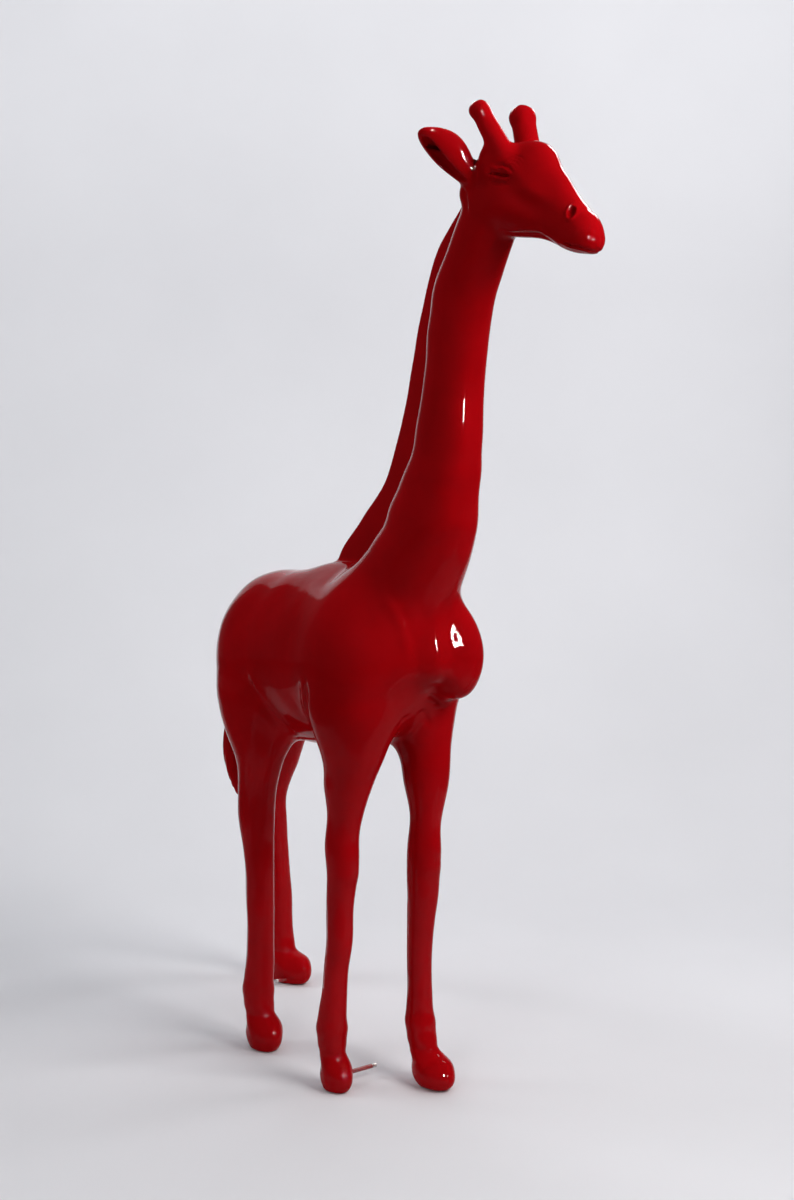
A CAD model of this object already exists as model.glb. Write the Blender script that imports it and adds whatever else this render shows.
import math
import bpy
import numpy as np
from mathutils import Matrix, Vector


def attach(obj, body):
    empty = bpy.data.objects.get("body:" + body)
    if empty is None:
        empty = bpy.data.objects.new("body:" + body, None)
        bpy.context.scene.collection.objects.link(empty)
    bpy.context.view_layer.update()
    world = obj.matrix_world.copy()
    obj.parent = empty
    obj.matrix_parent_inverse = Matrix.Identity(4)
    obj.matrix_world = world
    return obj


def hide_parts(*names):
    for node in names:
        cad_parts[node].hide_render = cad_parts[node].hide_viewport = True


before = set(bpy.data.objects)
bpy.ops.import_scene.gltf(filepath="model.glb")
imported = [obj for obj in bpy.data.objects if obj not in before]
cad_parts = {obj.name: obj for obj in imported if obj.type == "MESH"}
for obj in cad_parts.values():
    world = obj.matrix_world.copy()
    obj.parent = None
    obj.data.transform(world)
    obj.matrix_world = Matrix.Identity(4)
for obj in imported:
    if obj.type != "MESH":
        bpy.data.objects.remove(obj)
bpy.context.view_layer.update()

SHIFT = np.array([-.0380, .2141, 0.])      # modelling axes to the row frame, metres

# ---------------------------------------------------------------- helpers
class Sp:
    """natural cubic spline, vector valued, clamped outside its range"""
    def __init__(s, rows):
        T = np.array(sorted([tuple(r) for r in rows]), float)
        s.x = T[:, 0]; s.y = T[:, 1:]
        n = len(s.x); h = np.diff(s.x)
        A = np.zeros((n, n)); B = np.zeros(s.y.shape)
        A[0, 0] = A[-1, -1] = 1.0
        for i in range(1, n-1):
            A[i, i-1] = h[i-1]; A[i, i] = 2*(h[i-1]+h[i]); A[i, i+1] = h[i]
            B[i] = 6*((s.y[i+1]-s.y[i])/h[i]-(s.y[i]-s.y[i-1])/h[i-1])
        s.M = np.linalg.solve(A, B)
    def __call__(s, t):
        t = np.clip(t, s.x[0], s.x[-1])
        i = np.clip(np.searchsorted(s.x, t)-1, 0, len(s.x)-2)
        h = (s.x[i+1]-s.x[i])[:, None]
        a = (s.x[i+1]-t)[:, None]/h; b = 1-a
        return a*s.y[i]+b*s.y[i+1]+((a**3-a)*s.M[i]+(b**3-b)*s.M[i+1])*h*h/6

def smin(a, b, k):
    h = np.clip(0.5+0.5*(b-a)/k, 0, 1)
    return b+(a-b)*h-k*h*(1-h)
def smax(a, b, k):
    return -smin(-a, -b, k)

def rotz(a):
    c, s = np.cos(a), np.sin(a); return np.array([[c, -s, 0], [s, c, 0], [0, 0, 1.]])
def rotx(a):
    c, s = np.cos(a), np.sin(a); return np.array([[1, 0, 0], [0, c, -s], [0, s, c.item() if hasattr(c,'item') else c]])
def roty(a):
    c, s = np.cos(a), np.sin(a); return np.array([[c, 0, s], [0, 1, 0], [-s, 0, c]])

def ell(P, c, r, R=None):
    """ellipsoid, first order distance; R rows are the local axes"""
    q = P-np.asarray(c)
    if R is not None: q = q@np.asarray(R).T
    r = np.asarray(r)
    k0 = np.sqrt(((q/r)**2).sum(1))+1e-9; k1 = np.sqrt(((q/(r*r))**2).sum(1))+1e-9
    return k0*(k0-1)/k1

def sec(dx, dy, a, b, p=2.0):
    """superellipse section, first order distance"""
    X = np.abs(dx)/a+1e-9; Y = np.abs(dy)/b+1e-9
    F = (X**p+Y**p)**(1/p)
    gx = (X**(p-1))*F**(1-p)/a; gy = (Y**(p-1))*F**(1-p)/b
    return (F-1)*F/np.sqrt(gx*gx+gy*gy)/np.maximum(F, 1e-6)

def gz(P, sp, lo=None, hi=None, p=2.0, kc=0.02):
    """column sliced by height: rows (z, cx, cy, a, b)"""
    v = sp(P[:, 2])
    f = sec(P[:, 0]-v[:, 0], P[:, 1]-v[:, 1], v[:, 2], v[:, 3], p)
    # correct for the lean of the column
    if lo is not None: f = smax(f, lo-P[:, 2], kc)
    if hi is not None: f = smax(f, P[:, 2]-hi, kc)
    return f

def bump(P, c, r, amp, R=None):
    q = P-np.asarray(c)
    if R is not None: q = q@np.asarray(R).T
    return amp*np.exp(-((q/np.asarray(r))**2).sum(1))

def polyd(P, pts):
    """distance to a polyline and parameter 0..1 along it"""
    pts = np.asarray(pts, float); best = np.full(len(P), 1e9); par = np.zeros(len(P))
    L = np.linalg.norm(np.diff(pts, axis=0), axis=1); S = np.concatenate([[0], np.cumsum(L)]); S /= S[-1]
    for i in range(len(pts)-1):
        a, b = pts[i], pts[i+1]; ab = b-a
        t = np.clip(((P-a)@ab)/(ab@ab), 0, 1); d = np.linalg.norm(P-(a+t[:, None]*ab), axis=1)
        m = d < best; best[m] = d[m]; par[m] = S[i]+t[m]*(S[i+1]-S[i])
    return best, par
def crease(P, pts, w, depth):
    d, t = polyd(P, pts)
    taper = np.clip(np.minimum(t, 1-t)*3.2, 0, 1); taper = taper*taper*(3-2*taper)
    return depth*np.exp(-(d/w)**2)*taper
def fold(P, a, b, r0, r1):
    """round cone from a (r0) to b (r1)"""
    a = np.asarray(a, float); b = np.asarray(b, float); ab = b-a
    t = np.clip(((P-a)@ab)/(ab@ab), 0, 1)
    return np.linalg.norm(P-(a+t[:, None]*ab), axis=1)-(r0+(r1-r0)*t)

# ---------------------------------------------------------------- tables
# rows: height, centre x, centre y, half width x, half depth y
LEG = {
 'front_right': [(1.02,-.120,-.340,.070,.080),(.93,-.118,-.345,.070,.084),(.87,-.113,-.345,.064,.077),(.828,-.110,-.342,.060,.072),(.756,-.115,-.329,.053,.062),(.681,-.115,-.315,.040,.045),(.607,-.115,-.302,.039,.041),(.535,-.115,-.304,.036,.038),(.460,-.115,-.293,.032,.034),(.386,-.115,-.291,.031,.033),(.309,-.115,-.278,.029,.031),(.232,-.115,-.267,.030,.032),(.156,-.115,-.258,.034,.037),(.081,-.113,-.259,.032,.034),(.0,-.112,-.268,.024,.027)],
 'front_left': [(1.02,.110,-.340,.068,.080),(.93,.096,-.340,.060,.075),(.87,.091,-.350,.060,.072),(.808,.089,-.360,.056,.065),(.736,.087,-.366,.050,.056),(.663,.085,-.368,.037,.040),(.588,.085,-.360,.038,.041),(.514,.085,-.359,.039,.041),(.439,.085,-.353,.035,.037),(.362,.085,-.345,.031,.033),(.287,.085,-.343,.029,.031),(.212,.085,-.344,.030,.032),(.138,.085,-.348,.034,.036),(.068,.085,-.368,.034,.038),(.0,.094,-.388,.028,.032)],
 'rear_right': [(1.00,-.088,.100,.072,.115),(.90,-.095,.092,.072,.112),(.82,-.100,.081,.067,.095),(.763,-.105,.072,.055,.075),(.683,-.105,.084,.046,.054),(.604,-.105,.091,.043,.051),(.528,-.105,.083,.038,.043),(.450,-.105,.079,.035,.039),(.372,-.105,.078,.035,.037),(.293,-.105,.078,.034,.036),(.213,-.105,.082,.035,.039),(.132,-.105,.088,.037,.041),(.057,-.104,.074,.035,.040),(.0,-.104,.068,.030,.036)],
 'rear_left': [(1.00,.090,.150,.080,.130),(.90,.098,.215,.078,.120),(.82,.120,.285,.066,.100),(.74,.145,.345,.050,.076),(.663,.166,.385,.039,.050),(.60,.176,.430,.036,.042),(.554,.182,.457,.036,.039),(.481,.192,.473,.036,.039),(.393,.203,.485,.037,.040),(.307,.213,.490,.037,.040),(.219,.222,.495,.037,.040),(.131,.228,.498,.037,.040),(.057,.234,.486,.040,.045),(.0,.238,.480,.040,.045)],
}
# rows: centre, half sizes, heading
HOOF = {
 'front_right': ((-.113,-.279,.036),(.0355,.046,.041),0.0),
 'front_left': ((.088,-.401,.035),(.046,.063,.043),0.0),
 'rear_right': ((-.103,.060,.040),(.042,.060,.046),0.0),
 'rear_left': ((.246,.446,.040),(.042,.062,.046),0.0),
}
NECK = [(1.00,0,-.345,.13,.145),(1.10,0,-.355,.130,.150),(1.20,0,-.388,.122,.142),(1.28,0,-.434,.111,.142),(1.339,0,-.473,.102,.130),(1.365,0,-.490,.097,.122),(1.404,0,-.502,.092,.115),(1.450,0,-.520,.084,.104),(1.490,0,-.536,.079,.097),(1.528,0,-.549,.072,.088),(1.575,0,-.557,.069,.085),(1.626,0,-.565,.066,.080),(1.693,0,-.575,.063,.075),(1.750,0,-.584,.063,.075),(1.793,0,-.589,.064,.076),(1.836,0,-.599,.064,.076),(1.878,0,-.610,.065,.078),(1.916,0,-.628,.066,.079),(1.972,0,-.661,.063,.077),(2.007,0,-.680,.062,.077),(2.05,0,-.695,.056,.066),(2.10,0,-.71,.048,.050)]
# mane fin: height, free edge y, root y
MANE = [(1.19,-.085,-.13),(1.215,-.098,-.165),(1.24,-.115,-.20),(1.278,-.135,-.25),(1.304,-.155,-.29),(1.342,-.197,-.33),(1.38,-.238,-.355),(1.417,-.279,-.38),(1.453,-.315,-.405),(1.524,-.354,-.450),(1.593,-.384,-.475),(1.661,-.407,-.492),(1.729,-.426,-.505),(1.795,-.444,-.515),(1.861,-.466,-.528),(1.926,-.491,-.555),(1.988,-.527,-.59),(2.025,-.563,-.61),(2.049,-.588,-.63),(2.088,-.625,-.65),(2.115,-.648,-.668)]
# torso volumes: centre, half sizes (mirrored when x is not 0), blend
# head profile in its own frame: p along the axis, top, bottom, half width, exponent
PHI = np.radians(15.0); HP = np.radians(35.0)
HO = np.array([0.0, -.70, 2.10])
HF = np.array([np.sin(PHI), -np.cos(PHI), 0.0]); HL = np.array([np.cos(PHI), np.sin(PHI), 0.0]); UZ = np.array([0, 0, 1.0])
HD = HF*np.cos(HP)-UZ*np.sin(HP); HN = HF*np.sin(HP)+UZ*np.cos(HP)
HEAD = [(-.060,.022,-.040,.030),(-.045,.040,-.058,.042),(-.010,.081,-.076,.054),(.020,.112,-.080,.060),(.050,.130,-.078,.064),(.075,.136,-.074,.064),(.100,.129,-.066,.060),(.125,.115,-.054,.054),(.150,.106,-.040,.047),(.175,.097,-.028,.043),(.200,.089,-.020,.041),(.235,.081,-.014,.040),(.260,.076,-.008,.040),(.282,.064,.002,.035),(.297,.050,.013,.026),(.306,.040,.022,.014)]
def HW(s, t, z):
    """head frame (forward, to its left, height) to world"""
    return HO*np.array([1,1,0])+HF*s+HL*t+UZ*z
def HP2(p, t, n):
    return HO+HD*p+HL*t+HN*n
TAIL = [(.596,.003,.346,.004,.004),(.604,.003,.349,.009,.009),(.622,.003,.356,.015,.015),(.667,.002,.373,.022,.022),(.720,.001,.380,.025,.025),(.794,0,.366,.025,.025),(.860,0,.350,.025,.025),(.930,0,.333,.027,.028),(1.0,0,.312,.028,.030),(1.05,0,.292,.026,.028)]
legs = {k: Sp(v) for k, v in LEG.items()}
neck = Sp(NECK)
mane = Sp(MANE)
head = Sp(HEAD)
tail = Sp(TAIL)


def near(P, lo, hi, pad, fn):
    """fn where P is inside the padded box, the distance to the box elsewhere"""
    lo = np.asarray(lo, float); hi = np.asarray(hi, float)
    d = np.maximum(lo-P, P-hi)
    out = np.sqrt((np.maximum(d, 0)**2).sum(1))+.25*pad
    m = out < 1.25*pad
    if m.any():
        out[m] = fn(P[m])
    return out


def f_torso(P):
    Q = P.copy(); Q[:, 0] = np.sqrt(Q[:, 0]**2+1e-5)
    f = ell(P, (0, -.06, 1.021), (.181, .36, .217))
    f = smin(f, ell(P, (0, -.300, 1.060), (.148, .150, .190)), .06)
    f = smin(f, ell(P, (0, .128, 1.012), (.150, .156, .199)), .06)
    f = smin(f, ell(P, (0, -.21, 1.035), (.190, .225, .192)), .05)
    f = smin(f, ell(P, (.104, -.325, 1.045), (.108, .112, .160)), .070)      # left shoulder and its point
    f = smin(f, ell(P, (.0945, -.4690, 1.060), (.063, .066, .103)), .038)
    f = smin(f, ell(P, (-.096, -.348, 1.048), (.108, .120, .172)), .085)     # right shoulder, flatter
    f = smin(f, ell(P, (-.118, -.342, .935), (.072, .088, .130)), .050)      # upper arms
    f = smin(f, ell(P, (.090, -.330, .930), (.050, .064, .100)), .040)
    f = smin(f, ell(Q, (.090, .110, .955), (.073, .113, .185)), .05)         # thighs
    f = smin(f, ell(P, (0, -.17, 1.160), (.070, .15, .101)), .05)            # withers
    f = smin(f, ell(P, (0, -.25, 1.085), (.150, .19, .150)), .05)
    return f


def f_neck(P):
    return gz(P, neck, 1.04, 2.08, kc=.04)


def one_leg(P, k):
    c, r, a = HOOF[k]
    g = gz(P, legs[k], -1.0, .93, p=2.15, kc=.05)
    # hoof: broad toe, rounded sole edge, slight point in front
    q = P-np.array(c)
    w = 1.0-.22*np.clip(-q[:, 1]/r[1], 0, 1)**2
    q[:, 0] = q[:, 0]/w
    h = ell(q, (0, 0, 0), r)*np.minimum(w, 1)
    g = smin(g, h, .022)
    return smax(g, -P[:, 2], .006)


def f_legs(P):
    f = None
    for k in legs:
        T = legs[k].y; m = T[:, 2:].max(1)
        lo = (T[:, 0].min()-.08, min(T[:, 1].min(), HOOF[k][0][1])-.13, -.01)
        hi = (T[:, 0].max()+.08, T[:, 1].max()+.13, .98)
        g = near(P, lo, hi, .10, lambda p: one_leg(p, k))
        f = g if f is None else np.minimum(f, g)
    return f


def f_mane(P):
    def fn(P):
        v = mane(P[:, 2]); edge = v[:, 0]; root = v[:, 1]
        cy = (edge+root-.03)/2; b = (edge-root+.03)/2
        f = sec(P[:, 0], P[:, 1]-cy, .0095, b, 2.6)
        f = smax(f, 1.205-P[:, 2], .012)
        return smax(f, P[:, 2]-2.105, .02)
    return near(P, (-.012, -.72, 1.19), (.012, -.07, 2.11), .06, fn)


def f_head0(P):
    q = P-HO
    p = q@HD; t = q@HL; n = q@HN
    v = head(p); c = (v[:, 0]+v[:, 1])/2; b = (v[:, 0]-v[:, 1])/2
    # narrower towards the bridge of the nose, full at the cheek
    k = (n-c)/np.maximum(b, 1e-3)
    a = v[:, 2]*(1-.13*np.clip(k, -1, 1))
    f = sec(t, n-c, a, b, 2.35)
    f = smax(f, -.055-p, .03); f = smax(f, p-.306, .014)
    return f


def hl(*pts):
    """points of the head frame (p, |t|, n) as an array"""
    return np.array(pts, float)


EYE = hl((.0478, .0655, .0425))[0]
SLIT = hl((.0215, .0645, .0330), (.033, .0668, .0350), (.048, .0675, .0405), (.062, .0660, .0465), (.0745, .0635, .0515))
UP = hl((.0170, .0650, .0345), (.028, .0690, .0445), (.043, .0695, .0530), (.060, .0675, .0570), (.0790, .0625, .0535))
LOW = hl((.0200, .0640, .0290), (.034, .0680, .0275), (.050, .0690, .0310), (.065, .0665, .0385), (.0780, .0630, .0480))
JAW = hl((.085, .045, -.052), (.1230, .0374, -.0396), (.1535, .0362, -.0195), (.1840, .0370, -.0045), (.2140, .0335, -.0035), (.2390, .0268, -.0046))
JBACK = hl((-.022, .052, -.020), (-.0076, .0549, -.0393), (.0073, .0559, -.0522), (.0204, .0569, -.0686), (.0410, .0560, -.0780))
MOUTH = hl((.3040, .006, .0190), (.2960, .0200, .0185), (.2825, .0320, .0155), (.2548, .0345, .0060), (.2290, .0330, .0035))


def f_head(P):
    def fn(P):
        f = f_head0(P)
        m = np.abs(f) < .03
        if not m.any():
            return f
        q = P[m]-HO
        L = np.stack([q@HD, np.abs(q@HL), q@HN], 1)
        side = np.sign(q@HL)
        d = np.zeros(len(L))                                            # added height
        # brow ridge, cheek bone, jaw muscle, temple hollow, muzzle swelling
        d += bump(L, (.016, .066, .062), (.016, .020, .022), .0060)
        d += bump(L, (.062, .062, .066), (.030, .020, .012), .0035)
        d += bump(L, (.128, .048, .052), (.034, .020, .014), .0030)
        d += bump(L, (.060, .060, -.020), (.040, .030, .035), .0045)
        d -= bump(L, (-.012, .060, .020), (.020, .020, .028), .0050)
        d -= bump(L, (.115, .050, .022), (.045, .020, .016), .0030)
        d -= bump(L, (.165, .046, .030), (.040, .020, .020), .0025)
        d += bump(L, (.255, .040, .040), (.030, .020, .026), .0040)
        d += bump(L, (.150, .0, .110), (.05, .018, .02), .0015)
        # eye: socket, ball, heavy lids, dark back corner; all laid out in the side view
        S = L*np.array([1, 0, 1]); near_eye = L[:, 1] > .020
        flat = lambda T, o=(0, 0): np.asarray(T)*np.array([1, 0, 1])+np.array([o[0], 0, o[1]])
        g = np.zeros(len(L))
        g -= bump(S, flat(EYE), (.030, .020, .017), .0060)
        e = S-flat(EYE)
        ax = np.array([.95, 0, .30]); ax /= np.linalg.norm(ax); up_ = np.array([-ax[2], 0, ax[0]])
        u = e@ax/.0270; v = e@up_/.0115
        g += .0050*np.sqrt(np.clip(1-u*u-v*v, 0, 1))
        g += crease(S, flat(UP, (0, .0006)), .0042, .0052)
        g += crease(S, flat(LOW), .0040, .0036)
        g -= crease(S, flat(SLIT, (0, .0016)), .0023, .0105)
        g -= crease(S, flat(UP, (-.001, .0082)), .0030, .0042)
        g -= crease(S, flat(LOW, (.001, -.0074)), .0034, .0022)
        g -= bump(S, flat((.0225, 0, .0352)), (.0064, .03, .0052), .0150)
        # wrinkles over the brow
        for w_ in (.0165, .0235, .0305, .0370):
            g -= crease(S, flat(UP, (.003+.10*w_, w_)), .0024, .0011)
        d += np.where(near_eye, g, 0)
        # jaw edge and the hollow under it
        d += crease(L, JAW, .0055, .0030)
        d -= crease(L, JAW+np.array([-.004, -.012, -.0120]), .0080, .0055)
        # back edge of the jaw, standing over the neck
        d += crease(L, JBACK+np.array([.010, 0, .004]), .0110, .0035)
        d -= crease(L, JBACK+np.array([-.004, 0, -.004]), .0060, .0100)
        # upper lip and chin
        d += bump(L, (.300, 0, .012), (.012, .020, .010), .0030)
        # mouth and lips
        d -= crease(L, MOUTH, .0024, .0048)
        d += crease(L, MOUTH+np.array([0, .001, .0065]), .0055, .0014)
        d += crease(L, MOUTH+np.array([0, .000, -.0065]), .0050, .0022)
        # nostril: rim and hole
        c = L-np.array([.2255, .036, .0620])
        r = np.sqrt(((c[:, 2]*.819-c[:, 0]*.574)/1.45)**2+(c[:, 0]*.819+c[:, 2]*.574)**2+(c[:, 1]*.3)**2)
        d += .0034*np.exp(-((r-.0102)/.0036)**2)
        d -= .0180*np.exp(-(r/.0064)**4)
        # nose pad: a step across the bridge, cleft between the nostrils
        d -= bump(L, (.240, .0, .086), (.010, .030, .012), .0022)
        d -= bump(L, (.298, .0, .036), (.010, .0035, .018), .0015)
        f[m] -= d
        return f
    return near(P, (-.13, -1.01, 1.86), (.19, -.60, 2.26), .05, fn)


def horn(P, side):
    if side < 0:
        a = HW(.062, -.046, 2.150); b = HW(.020, -.0755, 2.2405); f = fold(P, a, b, .0245, .0190); r = .0200
    else:
        a = HW(.066, .045, 2.150); b = HW(.036, .060, 2.242); f = fold(P, a, b, .0280, .0252); r = .0262
    f = smin(f, ell(P, b, (r, r, r*.80)), .012)
    if side < 0:
        f = smin(f, ell(P, HW(.030, -.044, 2.136), (.030, .028, .040)), .020)
    # slight knobs and a flattened crown
    q = P-b
    f -= .0012*np.cos(q[:, 0]*150+1.0*side)*np.cos(q[:, 1]*130)*np.exp(-(q**2).sum(1)/.0016)
    return f


def f_horns(P):
    return near(P, (-.12, -.84, 2.10), (.12, -.68, 2.27), .05, lambda p: np.minimum(horn(p, -1), horn(p, 1)))


EB = {-1: HW(-.022, -.055, 2.110), 1: HW(-.022, .055, 2.110)}
ET = {-1: HW(-.066, -.158, 2.2055), 1: HW(-.066, .158, 2.2055)}
EARW = .006
EARO = .0125
EARS = Sp([(-.2, .022, .018), (0, .026, .019), (.25, .036, .021), (.5, .042, .020), (.7, .0375, .016), (.85, .0275, .0115), (.95, .0155, .008), (1.0, .007, .005)])
EARC = Sp([(-.05, .003, .004), (.12, .009, .012), (.3, .0140, .023), (.55, .0165, .024), (.75, .0148, .019), (.88, .0105, .011), (.97, .003, .003)])


def ear(P, side):
    a, b = EB[side], ET[side]; ax = b-a; Lg = np.linalg.norm(ax); ax = ax/Lg
    nn = HF*.25+HL*side*.66-UZ*.72; nn = nn-ax*(nn@ax); nn /= np.linalg.norm(nn); wd = np.cross(ax, nn)
    q = P-a; s = q@ax/Lg; w = q@wd; n = q@nn
    w = w-EARW*side*np.clip(s, 0, 1)*(1-.5*s)
    # the tip curls a little forwards
    n = n-.010*np.clip(s-.55, 0, 1)**2*4
    S = EARS(s)
    f = sec(w, n+.35*w*w/.04, S[:, 0], S[:, 1]*.9, 2.0)
    f = smax(f, (s-1.0)*Lg, .006); f = smax(f, (-.15-s)*Lg, .01)
    C = EARC(s)
    g = sec(w-EARO*side*np.sin(np.pi*np.clip(s, 0, 1))**.7, n-.016-.1*s*.05, C[:, 0], C[:, 1]*1.35, 2.0)
    g = smax(g, (s-.95)*Lg, .004); g = smax(g, (.02-s)*Lg, .01)
    f = smax(f, -g, .005)
    return f


def f_ears(P):
    def fn(p):
        return np.minimum(ear(p, -1), ear(p, 1))
    return near(P, (-.26, -.78, 2.03), (.24, -.55, 2.25), .05, fn)


def f_tail(P):
    def fn(p):
        f = gz(p, tail, .596, 1.04, kc=.008)
        # strands of the tuft
        a = np.arctan2(p[:, 0], p[:, 1]-.37)
        return f-.0010*np.sin(a*7+p[:, 2]*26)*np.clip((.86-p[:, 2])/.1, 0, 1)
    return near(P, (-.03, .26, .59), (.035, .41, 1.06), .06, fn)


# lines on the body, model metres
X = lambda pts, s: [(s*x, y, z) for x, y, z in pts]
VAL = [(.032, -.50, 1.235), (.034, -.50, 1.180), (.036, -.50, 1.110), (.038, -.475, 1.040), (.034, -.46, .985)]
SHLINE = [(-.122, -.450, 1.222), (-.108, -.466, 1.200), (-.092, -.482, 1.172), (-.078, -.492, 1.135), (-.068, -.492, 1.085), (-.064, -.485, 1.050)]
KEEL = [(0, -.52, 1.23), (0, -.515, 1.15), (0, -.505, 1.08), (0, -.47, 1.00), (0, -.44, .95)]
ARMFOLD = [(.018, -.452, .972), (.045, -.447, .965), (.078, -.436, .945)]
PITFOLD = [(.012, -.430, .935), (.035, -.430, .920), (.060, -.415, .890)]
ELBOW = [(.205, -.300, 1.020), (.200, -.285, .975), (.190, -.270, .930), (.172, -.262, .890), (.150, -.258, .860)]
FLANK = [(.182, .020, 1.000), (.176, -.010, .965), (.160, -.050, .920), (.130, -.085, .872), (.095, -.110, .838)]
GROOVE = [(.030, -.56, 1.300), (.024, -.600, 1.345), (.006, -.636, 1.520), (-.002, -.648, 1.690), (.002, -.66, 1.80)]
BANDS = [(-.060, -.50, 1.36), (-.048, -.565, 1.55), (-.044, -.59, 1.70), (-.042, -.62, 1.86)]


def detail(P):
    """raised and sunk work on the body: the value to take off the distance"""
    d = np.zeros(len(P)); z = P[:, 2]
    m = (z > .82) & (z < 1.30) & (P[:, 1] < -.36)
    if m.any():
        p = P[m].copy(); p[:, 0] = np.abs(p[:, 0])
        v = -crease(p, VAL, .022, .0045)+crease(p, KEEL, .018, .0022)
        v += crease(P[m], SHLINE, .015, .0045)-crease(P[m], [(a+.016, b-.004, c-.016) for a, b, c in SHLINE], .018, .0030)
        v += -crease(p, ARMFOLD, .006, .0040)-crease(p, PITFOLD, .007, .0040)+crease(p, [(a, b, c-.014) for a, b, c in ARMFOLD], .007, .0020)
        v += bump(p, (0, -.500, 1.050), (.034, .12, .058), .0150)
        # old cracks under the chest, as short dents
        for c in ((.052, -.44, .985), (.066, -.43, .962), (.060, -.43, .945), (.080, -.425, .930)):
            v -= bump(p, c, (.010, .02, .0028), .0012)
        d[m] += v
    m = (z > .80) & (z < 1.08) & (np.abs(P[:, 0]) > .06) & (P[:, 1] > -.36) & (P[:, 1] < .08)
    if m.any():
        p = P[m].copy(); p[:, 0] = np.abs(p[:, 0])
        v = -crease(p, ELBOW, .0110, .0060)+crease(p, [(a+.004, b+.022, c) for a, b, c in ELBOW], .014, .0036)
        v += crease(p, FLANK, .012, .0050)-crease(p, [(a-.012, b+.024, c-.012) for a, b, c in FLANK], .022, .0085)
        d[m] += v
    m = (z > 1.26) & (z < 1.95) & (P[:, 1] < -.42)
    if m.any():
        p = P[m]; q = p.copy(); q[:, 0] = -q[:, 0]
        d[m] += -crease(p, GROOVE, .020, .0045)-.6*crease(q, GROOVE, .020, .0045)+crease(p, BANDS, .022, .0030)+crease(q, BANDS, .022, .0030)
    # knees, hocks, fetlocks, tendons
    m = z < .75
    if m.any():
        p = P[m]; v = np.zeros(len(p))
        for k in legs:
            T = legs[k](p[:, 2]); x = p[:, 0]-T[:, 0]; y = p[:, 1]-T[:, 1]
            r = np.sqrt(x*x+y*y); sel = r < .09
            if not sel.any():
                continue
            xs, ys, zs = x[sel], y[sel], p[sel, 2]
            a = np.arctan2(xs, -ys)                                   # 0 in front
            front = np.exp(-(a/.75)**2); back = np.exp(-((np.pi-np.abs(a))/.55)**2)
            if k.startswith("front"):
                o = .0050*front*np.exp(-((zs-.585)/.035)**2)-.0030*front*np.exp(-((zs-.505)/.03)**2)
                o += .0030*front*np.exp(-((zs-.535)/.016)**2)
                o += .0030*back*np.exp(-((zs-.60)/.03)**2)
            else:
                o = .0050*back*np.exp(-((zs-.575)/.040)**2)-.0030*front*np.exp(-((zs-.54)/.04)**2)
            # tendon at the back of the cannon, groove on each side of it
            c = np.clip((zs-.20)/.05, 0, 1)*np.clip((.50-zs)/.06, 0, 1)
            o += c*(.0028*back-.0022*np.exp(-((np.abs(a)-2.1)/.32)**2))
            # fetlock and the step down on to the hoof
            o += (.0002 if k == "rear_left" else .0030)*np.exp(-((zs-.150)/.018)**2)-.0022*np.exp(-((zs-.092)/.010)**2)
            # uneven, hand-laid coats round the foot
            o += .0016*np.sin(a*3+zs*70+1)*np.exp(-((zs-.06)/.05)**2)
            v[sel] += o
        d[m] += v
    return d


WAVE = [((41, 23, 17), .3), ((-29, 37, 31), 1.1), ((19, -33, 47), 2.3), ((71, 13, -37), .7), ((-17, 67, -53), 1.9), ((53, -59, 29), 2.9)]


def waves(P):
    """hand-finished unevenness, under half a millimetre"""
    s = np.zeros(len(P))
    for (a, b, c), ph in WAVE:
        s += np.sin(P[:, 0]*a+P[:, 1]*b+P[:, 2]*c+ph+1.5*np.sin(P[:, 2]*9+ph))
    return s*.00011


def body(P):
    t = near(P, (-.27, -.50, .76), (.27, .34, 1.32), .12, f_torso)
    n = near(P, (-.15, -.78, 1.00), (.15, -.18, 2.15), .12, f_neck)
    f = smin(t, n, .075)
    f = smin(f, f_legs(P), .056)
    m = np.abs(f) < .025
    if m.any():
        f[m] -= detail(P[m])
    return f


def total(P):
    f = body(P)
    f = smin(f, f_tail(P), .012)
    f = smin(f, f_mane(P), .010)
    h = f_head(P)
    h = smin(h, f_horns(P), .022)
    h = smin(h, f_ears(P), .016)
    f = smin(f, h, .016)
    m = np.abs(f) < .02
    f[m] -= waves(P[m])
    return f
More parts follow.
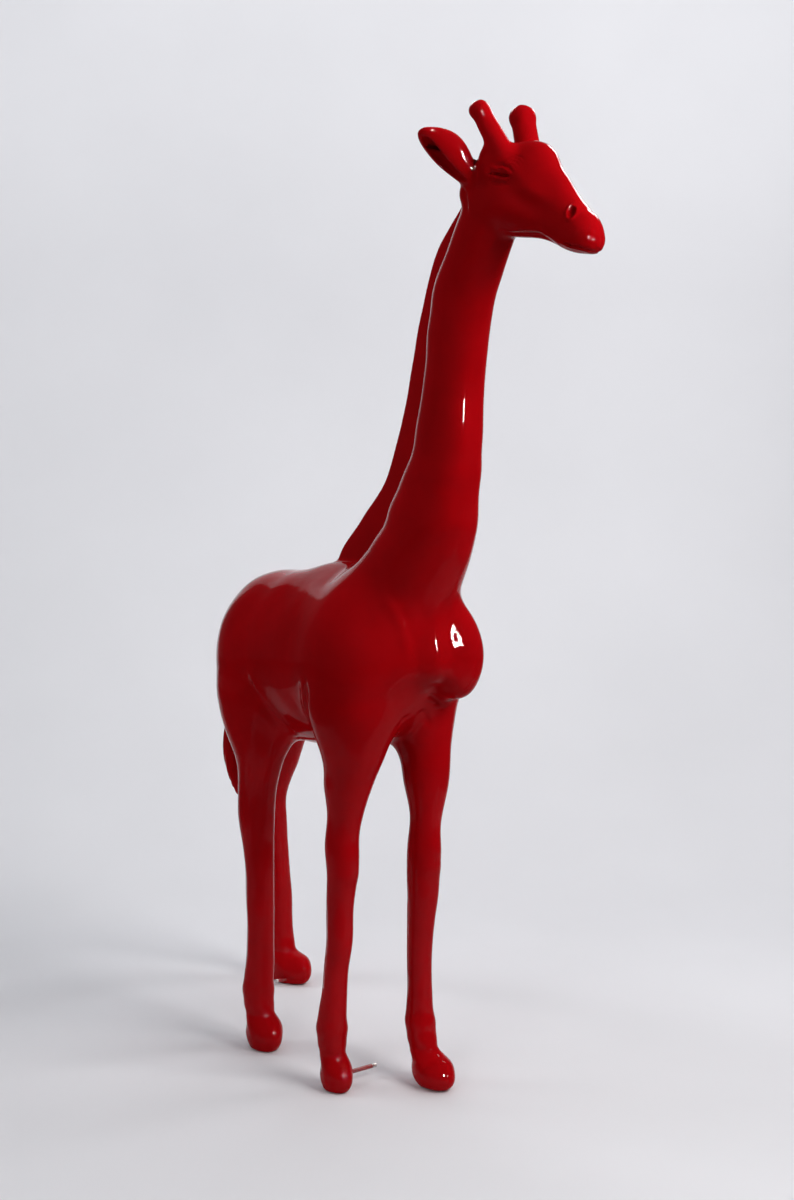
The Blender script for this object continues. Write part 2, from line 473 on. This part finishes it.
# ---------------------------------------------------------------- surface of the shape
def surface_nets(f, lo, hi, h, coarse=6, slack=1.0):
    """quads round the zero level of f inside the box lo..hi, on a grid of step h that is only filled near the surface"""
    lo = np.asarray(lo, float); hi = np.asarray(hi, float)
    H = h*coarse
    nb = np.ceil((hi-lo)/H).astype(int)
    g = [lo[i]+H*(np.arange(nb[i])+.5) for i in range(3)]
    C = np.stack(np.meshgrid(*g, indexing='ij'), -1).reshape(-1, 3)
    act = np.abs(f(C)) < H*1.35*slack
    I = np.stack(np.unravel_index(np.nonzero(act)[0], nb), -1)
    N = nb*coarse+1
    o = np.stack(np.meshgrid(*[np.arange(coarse+1)]*3, indexing='ij'), -1).reshape(-1, 3)
    def key(ijk):
        return (ijk[..., 0].astype(np.int64)*N[1]+ijk[..., 1])*N[2]+ijk[..., 2]
    K = np.unique(key(I[:, None, :]*coarse+o[None]).reshape(-1))
    P = lo+h*np.stack([K//(N[2]*N[1]), (K//N[2]) % N[1], K % N[2]], -1)
    V = np.empty(len(P))
    for a in range(0, len(P), 250000):
        V[a:a+250000] = f(P[a:a+250000])
    oc = np.stack(np.meshgrid(*[np.arange(coarse)]*3, indexing='ij'), -1).reshape(-1, 3)
    CK = np.unique(key(I[:, None, :]*coarse+oc[None]).reshape(-1))
    st = np.array([N[1]*N[2], N[2], 1], np.int64)
    corner = [(a, b, c) for a in (0, 1) for b in (0, 1) for c in (0, 1)]
    idx = np.stack([np.searchsorted(K, CK+a*st[0]+b*st[1]+c*st[2]) for a, b, c in corner], 1)
    vals = V[idx]; inside = vals < 0
    n_in = inside.sum(1); m = (n_in > 0) & (n_in < 8)
    CK, vals, inside = CK[m], vals[m], inside[m]
    acc = np.zeros((len(CK), 3)); cnt = np.zeros(len(CK)); cp = np.array(corner, float)
    for i in range(8):
        for j in range(i+1, 8):
            if np.abs(cp[i]-cp[j]).sum() != 1:
                continue
            cr = inside[:, i] != inside[:, j]
            t = vals[cr, i]/(vals[cr, i]-vals[cr, j])
            acc[cr] += cp[i]+(cp[j]-cp[i])*t[:, None]; cnt[cr] += 1
    verts = lo+h*(np.stack([CK//(N[2]*N[1]), (CK//N[2]) % N[1], CK % N[2]], -1)+acc/cnt[:, None])
    def find(k):
        p = np.minimum(np.searchsorted(CK, k), len(CK)-1)
        return p, CK[p] == k
    quads = []
    for ax in range(3):
        b, c = [(1, 2), (2, 0), (0, 1)][ax]
        cr = inside[:, 0] != inside[:, (4, 2, 1)[ax]]
        k0 = CK[cr]; i0 = np.nonzero(cr)[0]
        i1, o1 = find(k0-st[b]); i2, o2 = find(k0-st[b]-st[c]); i3, o3 = find(k0-st[c])
        ok = o1 & o2 & o3
        q = np.stack([i0, i1, i2, i3], 1)[ok]
        flip = ~inside[i0, 0][ok]
        q[flip] = q[flip][:, ::-1]
        quads.append(q)
    return verts, np.concatenate(quads)


def grad(f, P, e=2e-4):
    G = np.empty_like(P)
    for i in range(3):
        d = np.zeros(3); d[i] = e
        G[:, i] = (f(P+d)-f(P-d))/(2*e)
    return G


def chunks(fn, P, n=200000):
    return np.concatenate([fn(P[a:a+n]) for a in range(0, len(P), n)]) if len(P) else fn(P)


def project(f, P, n=3, lim=None):
    for _ in range(n):
        G = grad(f, P); v = f(P)
        s = v/np.maximum((G*G).sum(1), 5e-2)
        if lim:
            s = np.clip(s, -lim, lim)
        P = P-G*s[:, None]
    return P


def relax(f, V, Q, n=2, w=.5):
    """evens the spacing of the vertices and keeps them on the surface"""
    e = np.concatenate([Q[:, [0, 1]], Q[:, [1, 2]], Q[:, [2, 3]], Q[:, [3, 0]]])
    for _ in range(n):
        A = np.zeros_like(V); c = np.zeros(len(V))
        for a, b in ((0, 1), (1, 0)):
            for k in range(3):
                A[:, k] += np.bincount(e[:, a], V[e[:, b], k], len(V))
            c += np.bincount(e[:, a], minlength=len(V))
        V = V+w*(A/np.maximum(c, 1)[:, None]-V)
        V = chunks(lambda p: project(f, p, 1, .004), V)
    return V


class Split:
    """faces in one set of vertices, cut into named pieces along zero levels of cutting functions"""
    def __init__(s, f, V, Q, h):
        s.f, s.V, s.Q, s.h = f, V, Q, h
        s.cons = {}                    # vertex -> tuple of cutting function numbers
        s.fns = []

    def cut(s, sel, g):
        """sel: face mask; returns the masks where g<0 and g>=0"""
        k = len(s.fns); s.fns.append(g)
        idx = np.nonzero(sel)[0]
        c = s.V[s.Q[idx]].mean(1)
        neg = g(c) < 0
        A = np.zeros(len(s.V), bool); B = A.copy()
        A[s.Q[idx[neg]].ravel()] = True; B[s.Q[idx[~neg]].ravel()] = True
        for v in np.nonzero(A & B)[0]:
            s.cons[v] = s.cons.get(v, ())+(k,)
        a = np.zeros(len(s.Q), bool); b = a.copy()
        a[idx[neg]] = True; b[idx[~neg]] = True
        return a, b

    def settle(s, rounds=4):
        groups = {}
        for v, c in s.cons.items():
            groups.setdefault(c[:2], []).append(v)
        for c, vs in groups.items():
            vs = np.array(vs); P = s.V[vs].copy(); P0 = P.copy()
            fs = [s.f]+[s.fns[k] for k in c]
            for _ in range(rounds):
                J = np.stack([grad(fn, P) for fn in fs], 1)
                r = np.stack([fn(P) for fn in fs], 1)
                M = J@J.transpose(0, 2, 1)+np.eye(len(fs))*1e-4
                st = (J.transpose(0, 2, 1)@np.linalg.solve(M, r[:, :, None]))[:, :, 0]
                n = np.linalg.norm(st, axis=1, keepdims=True)
                P = P-st*np.minimum(1, 1.0*s.h/np.maximum(n, 1e-9))
                d = P-P0; n = np.linalg.norm(d, axis=1, keepdims=True)
                P = P0+d*np.minimum(1, 1.6*s.h/np.maximum(n, 1e-9))
            s.V[vs] = P


def rim(Q):
    """open edges of a face set, in the order of their faces"""
    e = np.concatenate([Q[:, [0, 1]], Q[:, [1, 2]], Q[:, [2, 3]], Q[:, [3, 0]]])
    n = int(Q.max())+1
    k = e[:, 0].astype(np.int64)*n+e[:, 1]; r = e[:, 1].astype(np.int64)*n+e[:, 0]
    return e[~np.isin(k, r)]

# ---------------------------------------------------------------- finishes
def srgb(r, g, b):
    def c(v):
        v /= 255.0
        return v/12.92 if v <= .04045 else ((v+.055)/1.055)**2.4
    return (c(r), c(g), c(b), 1.0)


class Nodes:
    def __init__(s, name):
        s.m = bpy.data.materials.new(name); s.m.use_nodes = True
        s.t = s.m.node_tree; s.t.nodes.clear()
        s.out = s.n("ShaderNodeOutputMaterial"); s.bsdf = s.n("ShaderNodeBsdfPrincipled")
        s.l(s.bsdf.outputs[0], s.out.inputs["Surface"])
    def n(s, kind, **kw):
        x = s.t.nodes.new(kind)
        for k, v in kw.items():
            setattr(x, k, v)
        return x
    def l(s, a, b):
        s.t.links.new(a, b)
    def noise(s, vec, scale, detail=2.0, rough=.5):
        x = s.n("ShaderNodeTexNoise"); s.l(vec, x.inputs["Vector"])
        x.inputs["Scale"].default_value = scale; x.inputs["Detail"].default_value = detail; x.inputs["Roughness"].default_value = rough
        return x.outputs[0]
    def ramp(s, val, lo, hi, a, b):
        x = s.n("ShaderNodeMapRange"); s.l(val, x.inputs[0])
        for k, v in ((1, lo), (2, hi), (3, a), (4, b)):
            x.inputs[k].default_value = v
        return x.outputs[0]
    def mix(s, fac, a, b, mode="MIX"):
        x = s.n("ShaderNodeMix", data_type="RGBA", blend_type=mode)
        s.l(fac, x.inputs["Factor"]) if not isinstance(fac, float) else setattr(x.inputs["Factor"], "default_value", fac)
        for sock, v in ((x.inputs[6], a), (x.inputs[7], b)):
            if isinstance(v, tuple):
                sock.default_value = v
            else:
                s.l(v, sock)
        return x.outputs[2]
    def bump(s, height, dist, strength=1.0, prev=None):
        x = s.n("ShaderNodeBump"); s.l(height, x.inputs["Height"])
        x.inputs["Distance"].default_value = dist; x.inputs["Strength"].default_value = strength
        if prev is not None:
            s.l(prev, x.inputs["Normal"])
        return x.outputs[0]


def make_lacquer():
    k = Nodes("red_lacquer")
    co = k.n("ShaderNodeTexCoord").outputs["Object"]
    big = k.noise(co, 5.0, 3.0, .55); fine = k.noise(co, 46.0, 3.0, .6)
    base = k.mix(k.ramp(big, .38, .64, 0, 1), (.31, .0011, .0030, 1), (.37, .0014, .0038, 1))
    base = k.mix(k.ramp(fine, .45, .75, 0, .10), base, (.20, .0009, .0022, 1))
    k.l(base, k.bsdf.inputs["Base Color"])
    k.l(k.ramp(fine, .3, .7, .26, .36), k.bsdf.inputs["Roughness"])
    lw = k.n("ShaderNodeLayerWeight"); lw.inputs[0].default_value = .5
    # duller polish on the undersides
    ge = k.n("ShaderNodeNewGeometry"); sp = k.n("ShaderNodeSeparateXYZ"); k.l(ge.outputs["Normal"], sp.inputs[0])
    mu = k.n("ShaderNodeMath", operation="MULTIPLY")
    k.l(k.ramp(lw.outputs["Facing"], .58, .93, .14, .95), mu.inputs[0]); k.l(k.ramp(sp.outputs[2], -.50, -.05, .68, 1.0), mu.inputs[1])
    k.l(mu.outputs[0], k.bsdf.inputs["Coat Weight"])
    k.bsdf.inputs["Specular IOR Level"].default_value = 0.0
    k.l(k.ramp(big, .3, .7, .025, .05), k.bsdf.inputs["Coat Roughness"])
    k.bsdf.inputs["Coat IOR"].default_value = 1.5
    peel = k.noise(co, 230.0, 2.0, .5); wave = k.noise(co, 24.0, 2.0, .5)
    b = k.bump(peel, .00006, 1.0); b = k.bump(wave, .0010, .35, b)
    k.l(b, k.bsdf.inputs["Coat Normal"]); k.l(b, k.bsdf.inputs["Normal"])
    return k.m


def make_steel(name, dark, light, rough=(.3, .5), metallic=1.0):
    k = Nodes(name)
    co = k.n("ShaderNodeTexCoord").outputs["Object"]
    mp = k.n("ShaderNodeMapping"); mp.inputs["Scale"].default_value = (1, 1, .05); k.l(co, mp.inputs[0])
    brush = k.noise(mp.outputs[0], 400.0, 3.0, .6); blot = k.noise(co, 18.0, 3.0, .6)
    base = k.mix(k.ramp(blot, .35, .7, 0, 1), dark, light)
    k.l(base, k.bsdf.inputs["Base Color"])
    k.bsdf.inputs["Metallic"].default_value = metallic
    k.l(k.ramp(brush, .3, .7, rough[0], rough[1]), k.bsdf.inputs["Roughness"])
    k.l(k.bump(brush, .0001, .6), k.bsdf.inputs["Normal"])
    return k.m


def make_rod(name, bare_x, side):
    """red lacquer run on to the rod, bare bevelled metal past bare_x (object-space x)"""
    k = Nodes(name)
    co = k.n("ShaderNodeTexCoord").outputs["Object"]
    sep = k.n("ShaderNodeSeparateXYZ"); k.l(co, sep.inputs[0])
    blot = k.noise(co, 190.0, 3.0, .6); fine = k.noise(co, 900.0, 2.0, .5)
    add = k.n("ShaderNodeMath", operation="MULTIPLY_ADD"); k.l(blot, add.inputs[0]); add.inputs[1].default_value = .004*side; k.l(sep.outputs[0], add.inputs[2])
    edge = k.ramp(add.outputs[0], bare_x-.0008*side, bare_x+.0014*side, 0, 1)
    metal = k.mix(k.ramp(fine, .3, .7, 0, 1), (.42, .40, .39, 1), (.60, .58, .56, 1))
    red = k.mix(k.ramp(blot, .35, .65, 0, 1), srgb(150, 4, 14), srgb(110, 3, 12))
    k.l(k.mix(edge, red, metal), k.bsdf.inputs["Base Color"])
    k.l(edge, k.bsdf.inputs["Metallic"])
    k.l(k.ramp(blot, .3, .7, .18, .34), k.bsdf.inputs["Roughness"])
    k.bsdf.inputs["Coat Weight"].default_value = .4
    k.l(k.bump(blot, .0006, .5), k.bsdf.inputs["Normal"])
    return k.m


lacquer = make_lacquer()
steel = make_steel("skeleton_steel", (.20, .19, .18, 1), (.38, .37, .36, 1))
rod_front = make_rod("rod_front", .0135+SHIFT[0]-.012, 1)
rod_rear = make_rod("rod_rear", .172+SHIFT[0]+.006, -1)
for name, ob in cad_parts.items():
    if name.endswith("_tube") or name.endswith("_crossbar"):
        ob.data.materials.clear(); ob.data.materials.append(steel)
    elif name == "front_right_anchor_rod":
        ob.data.materials.clear(); ob.data.materials.append(rod_front)
    elif name == "rear_left_anchor_rod":
        ob.data.materials.clear(); ob.data.materials.append(rod_rear)

# ---------------------------------------------------------------- the pieces
H_BODY = .0070
H_HEAD = .0032
Z_HEAD = 1.930                      # the finer grid starts here
LO = np.array([-.30, -1.02, -.02]); HI = np.array([.34, .62, 2.32])


FOCUS = [(HO+HD*p+HL*(t*side)+HN*n, R, k) for side in (-1, 1) for p, t, n, R, k in ((.046, .062, .045, .048, .42), (.2255, .034, .062, .026, .55))]


def lens(P):
    """draws the grid together round the eyes and the nostrils, so that it is finer there"""
    out = P.copy()
    for c, R, k in FOCUS:
        d = P-c; r = np.sqrt((d**2).sum(1)); m = r < R
        if m.any():
            t = r[m]/R; s = k+(1-k)*t*t*(3-2*t)
            out[m] = c+d[m]*s[:, None]
    return out


def skin():
    """vertices and quads of the whole surface: a coarser grid below Z_HEAD, a finer one above, joined on that plane"""
    out = []
    for h, lo, hi, up in ((H_BODY, LO, (HI[0], HI[1], Z_HEAD+3*H_BODY), False),
                          (H_HEAD, (-.26, -1.02, Z_HEAD-4*H_HEAD), HI, True)):
        V, Q = surface_nets((lambda p: total(lens(p))) if up else total, lo, hi, h, slack=1.35 if up else 1.0)
        if up:
            V = lens(V)
        V = chunks(lambda p: project(total, p, 2, h), V)
        V = relax(total, V, Q, 2)
        z = V[Q][:, :, 2].mean(1)
        keep = (z >= Z_HEAD) if up else (z < Z_HEAD)
        drop = V[Q[~keep]].reshape(-1, 3) if (~keep).any() else None
        flag = np.zeros(len(V), bool); flag[Q[keep].ravel()] = True
        other = np.zeros(len(V), bool); other[Q[~keep].ravel()] = True
        edge = flag & other
        Q = Q[keep]; new = -np.ones(len(V), int); new[flag] = np.arange(flag.sum())
        out.append((V[flag], new[Q], edge[flag]))
    return out


def make_pieces():
    pieces = {}
    def add(name, V, Q, shell):
        pieces.setdefault(name, []).append((V, Q, shell))
    for k, (V, Q, edge) in enumerate(skin()):
        h = (H_BODY, H_HEAD)[k]
        s = Split(total, V, Q, h)
        zc = s.fns; s.fns.append(lambda P: P[:, 2]-Z_HEAD)
        for v in np.nonzero(edge)[0]:
            s.cons[v] = (0,)
        allf = np.ones(len(Q), bool)
        masks = {}
        if k == 0:
            tail, rest = s.cut(allf, lambda P: f_tail(P)-body(P)-.001)
            masks["tail"] = tail
            mane_, rest = s.cut(rest, lambda P: f_mane(P)-body(P)-.0005)
            masks["mane_ridge"] = mane_
            legs_, up = s.cut(rest, lambda P: P[:, 2]-.770)
            hoof, shank = s.cut(legs_, lambda P: P[:, 2]-.095)
            for m, kind in ((hoof, "hoof"), (shank, "leg_shell")):
                fr, re = s.cut(m, lambda P: P[:, 1]+.130)
                a, b = s.cut(fr, lambda P: P[:, 0]+.012)
                masks["front_right_"+kind], masks["front_left_"+kind] = a, b
                a, b = s.cut(re, lambda P: P[:, 0]-(.02+(.095-.02)*np.clip((P[:, 2]-.9)/-.9, 0, 1)))
                masks["rear_right_"+kind], masks["rear_left_"+kind] = a, b
            tor, nec = s.cut(up, lambda P: P[:, 2]-1.360)
            masks["torso_shell_right"], masks["torso_shell_left"] = s.cut(tor, lambda P: P[:, 0])
            masks["neck_shell_right"], masks["neck_shell_left"] = s.cut(nec, lambda P: P[:, 0])
        else:
            mane_, rest = s.cut(allf, lambda P: f_mane(P)-np.minimum(body(P), f_head(P))-.0005)
            masks["mane_ridge"] = mane_
            nec, hd = s.cut(rest, lambda P: np.minimum(body(P), 9)-np.minimum(np.minimum(f_head(P), f_horns(P)), f_ears(P)))
            masks["neck_shell_right"], masks["neck_shell_left"] = s.cut(nec, lambda P: P[:, 0])
            hn, hd = s.cut(hd, lambda P: f_horns(P)-f_head(P)-.0005)
            er, hd = s.cut(hd, lambda P: f_ears(P)-f_head(P)-.0005)
            masks["horn_right"], masks["horn_left"] = s.cut(hn, lambda P: (P-HO)@HL)
            masks["ear_right"], masks["ear_left"] = s.cut(er, lambda P: (P-HO)@HL)
            masks["head_shell_right"], masks["head_shell_left"] = s.cut(hd, lambda P: (P-HO)@HL)
        s.settle()
        for name, m in masks.items():
            if not m.any():
                continue
            q = s.Q[m]; used = np.unique(q)
            new = -np.ones(len(s.V), int); new[used] = np.arange(len(used))
            cons = {int(new[v]): [s.fns[c] for c in cs] for v, cs in s.cons.items() if new[v] >= 0}
            add(name, s.V[used], new[q], cons)
    return pieces


def zipper(V, loop):
    """triangles between the two sides of a long loop, from its lowest to its highest vertex"""
    z = V[loop][:, 2]; i0 = int(np.argmin(z)); L = loop[i0:]+loop[:i0]
    k = int(np.argmax(V[L][:, 2])); A = L[:k+1]; B = [L[0]]+L[k:][::-1]
    out = []; i = j = 0
    while i < len(A)-1 or j < len(B)-1:
        if j == len(B)-1 or (i < len(A)-1 and V[A[i+1], 2] <= V[B[j+1], 2]):
            if B[j] not in (A[i], A[i+1]):
                out.append((A[i+1], A[i], B[j]))
            i += 1
        else:
            if A[i] not in (B[j], B[j+1]):
                out.append((B[j], B[j+1], A[i]))
            j += 1
    return out


def solid(name, parts):
    """outer skin with its normals, plus either the inner face of the wall or end caps"""
    wall = 0.004 if "leg" in name else 0.005
    cast = any(w in name for w in ("hoof", "ear", "horn", "mane", "tail"))
    VV, FF, NN, base = [], [], [], 0
    for V, Q, cons in parts:
        G = chunks(lambda p: grad(total, p), V)
        N = G/(np.linalg.norm(G, axis=1, keepdims=True)+1e-9)
        n = len(V)
        VV.append(V); NN.append(N); FF += [tuple(int(i)+base for i in q) for q in Q]
        R = rim(Q)
        if cast:
            # each open loop is closed: a fan, or for a long seam a strip from side to side
            nxt = {int(a): int(b) for a, b in R}
            seen = set(); extra = []
            for a in list(nxt):
                if a in seen:
                    continue
                loop = [a]; seen.add(a); b = nxt[a]
                while b not in seen and b in nxt:
                    loop.append(b); seen.add(b); b = nxt[b]
                if len(loop) < 3:
                    continue
                if "mane" in name or "tail" in name:
                    FF += [(x+base, y+base, w+base) for x, y, w in zipper(V, loop)]
                    continue
                c = V[loop].mean(0)-N[loop].mean(0)*.022
                j = base+n+len(extra); extra.append(c)
                FF += [(base+loop[(i+1) % len(loop)], base+loop[i], j) for i in range(len(loop))]
            if extra:
                VV.append(np.array(extra)); NN.append(np.tile([0, 0, 1.], (len(extra), 1)))
            base += n+len(extra)
        else:
            D = N.copy()
            groups = {}
            for v, gs in cons.items():
                for g in gs[:2]:
                    groups.setdefault(id(g), (g, []))[1].append(v)
            for g, vs in groups.values():
                m = grad(g, V[vs]); m /= np.linalg.norm(m, axis=1, keepdims=True)+1e-9
                d = D[vs]-m*(D[vs]*m).sum(1, keepdims=True); L = np.linalg.norm(d, axis=1, keepdims=True)
                D[vs] = np.where(L > .2, d/np.maximum(L, 1e-6), D[vs])
            VV.append(V-D*wall); NN.append(-N)
            FF += [(int(q[3])+base+n, int(q[2])+base+n, int(q[1])+base+n, int(q[0])+base+n) for q in Q]
            FF += [(int(b)+base, int(a)+base, int(a)+base+n, int(b)+base+n) for a, b in R]
            base += 2*n
    V = np.concatenate(VV)+SHIFT; N = np.concatenate(NN)
    V[:, 2] = np.maximum(V[:, 2], 0.0)
    me = bpy.data.meshes.new(name+"_skin")
    me.from_pydata(V.tolist(), [], FF)
    me.update()
    me.polygons.foreach_set("use_smooth", [True]*len(me.polygons))
    me.normals_split_custom_set_from_vertices(N.tolist())
    ob = bpy.data.objects.new(name+"_skin", me)
    bpy.context.scene.collection.objects.link(ob)
    return ob


CAST = ("hoof", "ear", "horn", "mane", "tail")
for name, parts in sorted(make_pieces().items()):
    ob = solid(name, parts)
    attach(ob, "root")
    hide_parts(name)
    "cast_lacquer" if any(w in name for w in CAST) else "shell_lacquer"
    ob.data.materials.append(lacquer)

# ---------------------------------------------------------------- floor, backdrop, light, camera
CAM = np.array([-2.3321, -3.4601, 1.58])+SHIFT
AIM = np.array([.6018, .7986, 0.]); RIGHT = np.array([.7986, -.6018, 0.])
PITCH = math.radians(5.8)


def sweep():
    """pale paper on the floor that curves up into the backdrop, in the camera's heading"""
    prof = []
    D0, D1, R = -1.10, .95, 2.2          # front edge, foot of the curve, radius
    for d in np.linspace(D0, D1, 24):
        prof.append((d, 0.0))
    for a in np.linspace(0, math.pi/2, 40)[1:]:
        prof.append((D1+R*math.sin(a), R-R*math.cos(a)))
    for z in np.linspace(R, 4.6, 12)[1:]:
        prof.append((D1+R, z))
    W = np.linspace(-1.95, 1.95, 17); V = []; F = []
    c0 = SHIFT*np.array([1, 1, 0])
    for d, z in prof:
        for w in W:
            p = c0+AIM*d+RIGHT*w; V.append((p[0], p[1], z-.0004))
    n = len(W)
    for i in range(len(prof)-1):
        for j in range(n-1):
            a = i*n+j; F.append((a, a+1, a+n+1, a+n))
    me = bpy.data.meshes.new("sweep"); me.from_pydata(V, [], F); me.update()
    me.polygons.foreach_set("use_smooth", [True]*len(me.polygons))
    ob = bpy.data.objects.new("sweep", me); bpy.context.scene.collection.objects.link(ob)
    k = Nodes("paper"); co = k.n("ShaderNodeTexCoord").outputs["Object"]
    k.l(k.mix(k.ramp(k.noise(co, 1.2, 3.0, .5), .3, .7, 0, 1), srgb(226, 227, 232), srgb(230, 231, 236)), k.bsdf.inputs["Base Color"])
    k.bsdf.inputs["Roughness"].default_value = .8
    k.bsdf.inputs["Specular IOR Level"].default_value = .1
    me.materials.append(k.m)
    return ob


def room():
    """plain grey studio floor round the paper"""
    n = 48; V = [(0, 0, -.012)]+[(9*math.cos(2*math.pi*i/n), 9*math.sin(2*math.pi*i/n), -.012) for i in range(n)]
    F = [(0, 1+i, 1+(i+1) % n) for i in range(n)]
    me = bpy.data.meshes.new("room_floor"); me.from_pydata(V, [], F); me.update()
    ob = bpy.data.objects.new("room_floor", me); bpy.context.scene.collection.objects.link(ob)
    k = Nodes("room_grey"); co = k.n("ShaderNodeTexCoord").outputs["Object"]
    k.l(k.mix(k.ramp(k.noise(co, 2.0, 3.0, .5), .3, .7, 0, 1), (.20, .20, .21, 1), (.23, .23, .24, 1)), k.bsdf.inputs["Base Color"])
    k.bsdf.inputs["Roughness"].default_value = .9
    k.bsdf.inputs["Specular IOR Level"].default_value = .1
    me.materials.append(k.m)
    return ob


sweep()
room()


def light(name, d, r, z, w, h, power, aim=(0, 0, 1.1), color=(1, 1, 1), spread=180, gloss=True, diffuse=True):
    """area light placed by the camera's heading: d forwards, r to the right, z up, metres from the statue"""
    L = bpy.data.lights.new(name, "AREA"); L.shape = "RECTANGLE"; L.size = w; L.size_y = h; L.energy = power; L.color = color
    L.spread = math.radians(spread)
    ob = bpy.data.objects.new(name, L); bpy.context.scene.collection.objects.link(ob)
    p = SHIFT*np.array([1, 1, 0])+AIM*d+RIGHT*r+np.array([0, 0, z])
    t = SHIFT*np.array([1, 1, 0])+np.array(AIM)*aim[0]+RIGHT*aim[1]+np.array([0, 0, aim[2]])
    ob.visible_glossy = gloss; ob.visible_diffuse = diffuse
    v = Vector(t-p); ob.location = Vector(p); ob.rotation_euler = v.to_track_quat("-Z", "Y").to_euler()
    return ob


light("key", -1.9, 2.5, 3.0, 1.7, 1.7, 92, (0, 0, 1.4), (1, .97, .94), gloss=False)
light("fill", -3.3, -1.3, 2.3, 1.4, 1.4, 21, (0, 0, 1.2), gloss=False)
light("overhead", .9, .2, 5.0, 3.6, 3.0, 54, (1.0, .2, 0), gloss=False)
light("wash", .5, 2.9, 3.6, 1.8, 1.0, 42, (3.1, -.3, 2.3), gloss=False)
light("wash_left", .5, -2.9, 3.6, 1.8, 1.0, 42, (3.1, .3, 2.2), gloss=False)
# narrow lights that are only seen mirrored in the lacquer
light("strip", -2.45, 2.48, 1.68, .30, .54, 255, (0, 0, 1.2), (1, .98, .96), diffuse=False)
light("strip_high", -3.35, 1.14, 2.04, .30, .46, 215, (0, 0, 1.7), (1, .98, .96), diffuse=False)
light("nose_rim", 1.6, 1.9, 3.6, .8, .8, 30, (0, 0, 1.8), (1, .93, .92), diffuse=False)
light("top_rim", 2.2, -.8, 4.2, 1.8, .8, 38, (0, 0, 1.2), (1, .95, .95), diffuse=False)

world = bpy.data.worlds.new("studio"); bpy.context.scene.world = world
world.use_nodes = True
bg = world.node_tree.nodes["Background"]; bg.inputs[0].default_value = (.93, .95, 1.0, 1); bg.inputs[1].default_value = .11

cam = bpy.data.cameras.new("camera"); cam.sensor_fit = "VERTICAL"; cam.sensor_height = 36.0; cam.sensor_width = 36.0
cam.lens = 50.01; cam.clip_start = .05; cam.clip_end = 60
camera = bpy.data.objects.new("camera", cam); bpy.context.scene.collection.objects.link(camera)
fwd = Vector(AIM*math.cos(PITCH)+np.array([0, 0, -math.sin(PITCH)]))
right = Vector(RIGHT); up = right.cross(fwd)
camera.matrix_world = Matrix(((right.x, up.x, -fwd.x, CAM[0]), (right.y, up.y, -fwd.y, CAM[1]), (right.z, up.z, -fwd.z, CAM[2]), (0, 0, 0, 1)))
bpy.context.scene.camera = camera
bpy.context.scene.view_settings.view_transform = "Standard"
bpy.context.scene.view_settings.look = "None"
